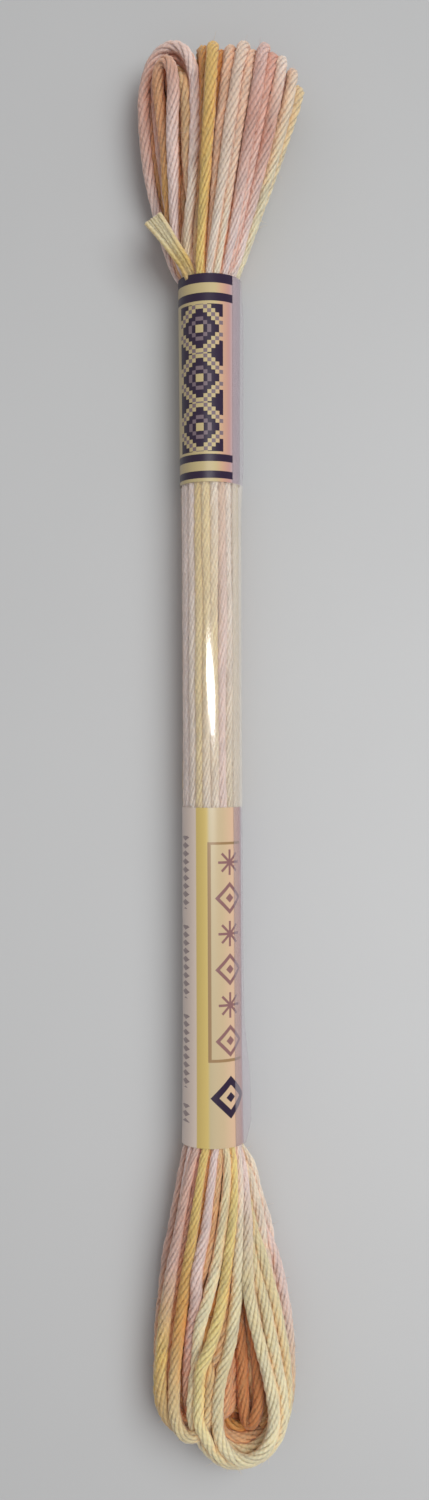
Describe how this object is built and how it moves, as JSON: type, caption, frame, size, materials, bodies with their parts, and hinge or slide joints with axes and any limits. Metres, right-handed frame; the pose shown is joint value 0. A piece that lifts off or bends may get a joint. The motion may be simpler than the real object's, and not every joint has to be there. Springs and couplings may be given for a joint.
{
  "type": "skein of embroidery floss",
  "caption": "Pull skein of six-stranded embroidery floss: a slim bundle in a printed clear film sleeve, flaring into open loops at both ends.",
  "frame": {"origin": "middle of the film sleeve's length, on the flat strip that it lies on", "axes": "+Y along the bundle towards the flare with the loose thread end, +Z up from the table, +X to the right when it is seen from above with +Y up"},
  "size_m": [0.0202, 0.1673, 0.0097],
  "materials": {
    "floss": "mercerised six-stranded cotton, dyed in a run of gold, cream, peach and pale pink",
    "floss_end": "mercerised six-stranded cotton, pale yellow, cut square",
    "film": "thin clear glossy film, printed over a pale ground near both mouths and clear between them"
  },
  "bodies": {
    "root": {"floss_hank": "floss", "loose_end": "floss_end", "sleeve": "film"}
  },
  "joints": []
}
